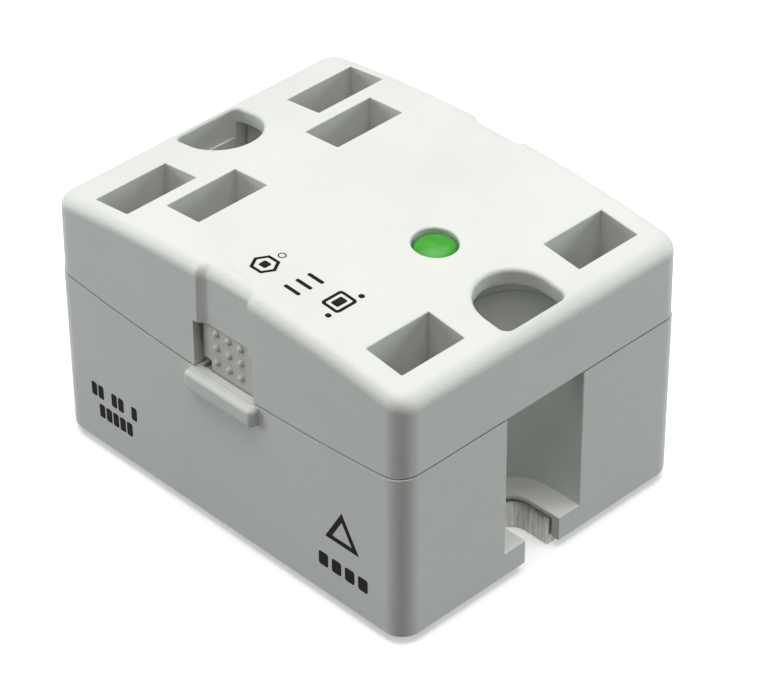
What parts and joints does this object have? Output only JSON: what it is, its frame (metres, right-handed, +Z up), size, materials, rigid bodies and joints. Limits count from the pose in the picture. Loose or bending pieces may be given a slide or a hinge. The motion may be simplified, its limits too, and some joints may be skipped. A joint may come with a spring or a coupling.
{
  "type": "panel-mount solid-state relay",
  "caption": "Block-shaped panel-mount solid-state relay: metal base plate, plastic case, clip-on terminal cover with slots for push-on connectors, screw openings and a green status light.",
  "frame": {"origin": "middle of the base plate's underside, the face that is bolted down", "axes": "+X along the length towards the control end, +Y across, +Z up from the mounting face to the cover"},
  "size_m": [0.0572, 0.0472, 0.036],
  "materials": {
    "case_plastic": "fine-grained light grey moulded plastic",
    "plate_metal": "satin, with cut edges",
    "tinned_metal": "tinned sheet",
    "copper": "bare copper",
    "solder": "soft bright solder",
    "ceramic": "fired alumina",
    "silicon": "polished chip",
    "gel": "clear silicone gel",
    "board": "green solder mask",
    "part_white": "moulded package",
    "part_black": "moulded package",
    "part_blue": "dipped coating",
    "part_red": "dipped box",
    "part_tan": "lacquered ceramic",
    "spacer": "natural nylon",
    "lens": "diffused green lens"
  },
  "bodies": {
    "relay_body": {"base_plate": "plate_metal", "housing": "case_plastic", "load_terminal_front": "tinned_metal", "load_terminal_rear": "tinned_metal", "control_terminal_front": "tinned_metal", "control_terminal_rear": "tinned_metal", "substrate_solder": "solder", "ceramic_substrate": "ceramic", "copper_tracks": "copper", "thyristor_front": "silicon", "thyristor_rear": "silicon", "thyristor_clips": "copper", "gate_pins": "tinned_metal", "potting_gel": "gel", "circuit_board": "board", "optocoupler": "part_white", "input_resistor": "part_blue", "gate_resistors": "part_tan", "snubber_capacitor": "part_red", "varistor": "part_blue", "driver_transistor": "part_black", "solder_joints": "solder", "led_spacer": "spacer", "led_leads": "tinned_metal", "status_led": "lens"},
    "cover_shell": {"cover": "case_plastic"},
    "front_arm": {"front_latch_arm": "case_plastic"},
    "rear_arm": {"rear_latch_arm": "case_plastic"}
  },
  "joints": [
    {"name": "cover_lift", "type": "slide", "parent": "relay_body", "child": "cover_shell", "axis": [0, 0, 1], "range_m": [0, 0.03]},
    {"name": "front_arm_press", "type": "hinge", "parent": "cover_shell", "child": "front_arm", "pos_m": [0.00036, -0.0208, 0.0275], "axis": [1, 0, 0], "range_deg": [0, 6], "stiffness_Nm_per_rad": 0.4},
    {"name": "rear_arm_press", "type": "hinge", "parent": "cover_shell", "child": "rear_arm", "pos_m": [0.00036, 0.0208, 0.0275], "axis": [-1, 0, 0], "range_deg": [0, 6], "stiffness_Nm_per_rad": 0.4}
  ]
}
